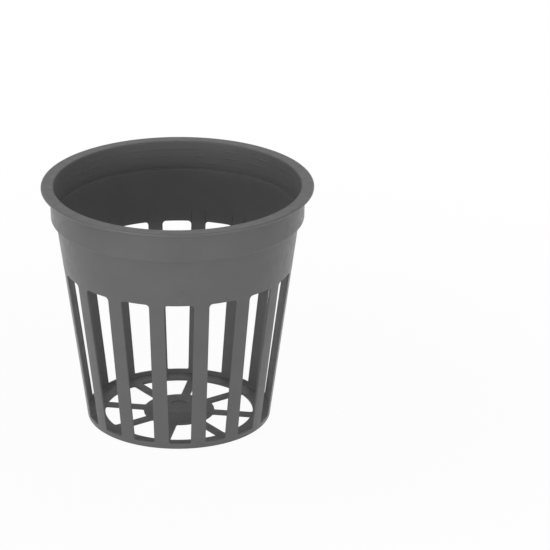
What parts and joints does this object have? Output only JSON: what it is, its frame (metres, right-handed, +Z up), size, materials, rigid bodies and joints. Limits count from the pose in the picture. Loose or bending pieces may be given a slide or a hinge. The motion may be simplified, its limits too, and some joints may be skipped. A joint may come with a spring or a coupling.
{
  "type": "hydroponic net pot",
  "caption": "Round tapered basket pot with a flat hanging rim, a plain collar, tall slots between straight ribs and a spoked open floor with a dished hub.",
  "frame": {"origin": "centre of the base, on the plane the pot stands on", "axes": "+Z up the pot's axis to the rim; -Y is the middle of one slot"},
  "size_m": [0.085, 0.085, 0.0774],
  "materials": {
    "pot_plastic": "moulded black-grey polypropylene, satin outside, a little duller inside"
  },
  "bodies": {
    "root": {"net_pot": "pot_plastic"}
  },
  "joints": []
}
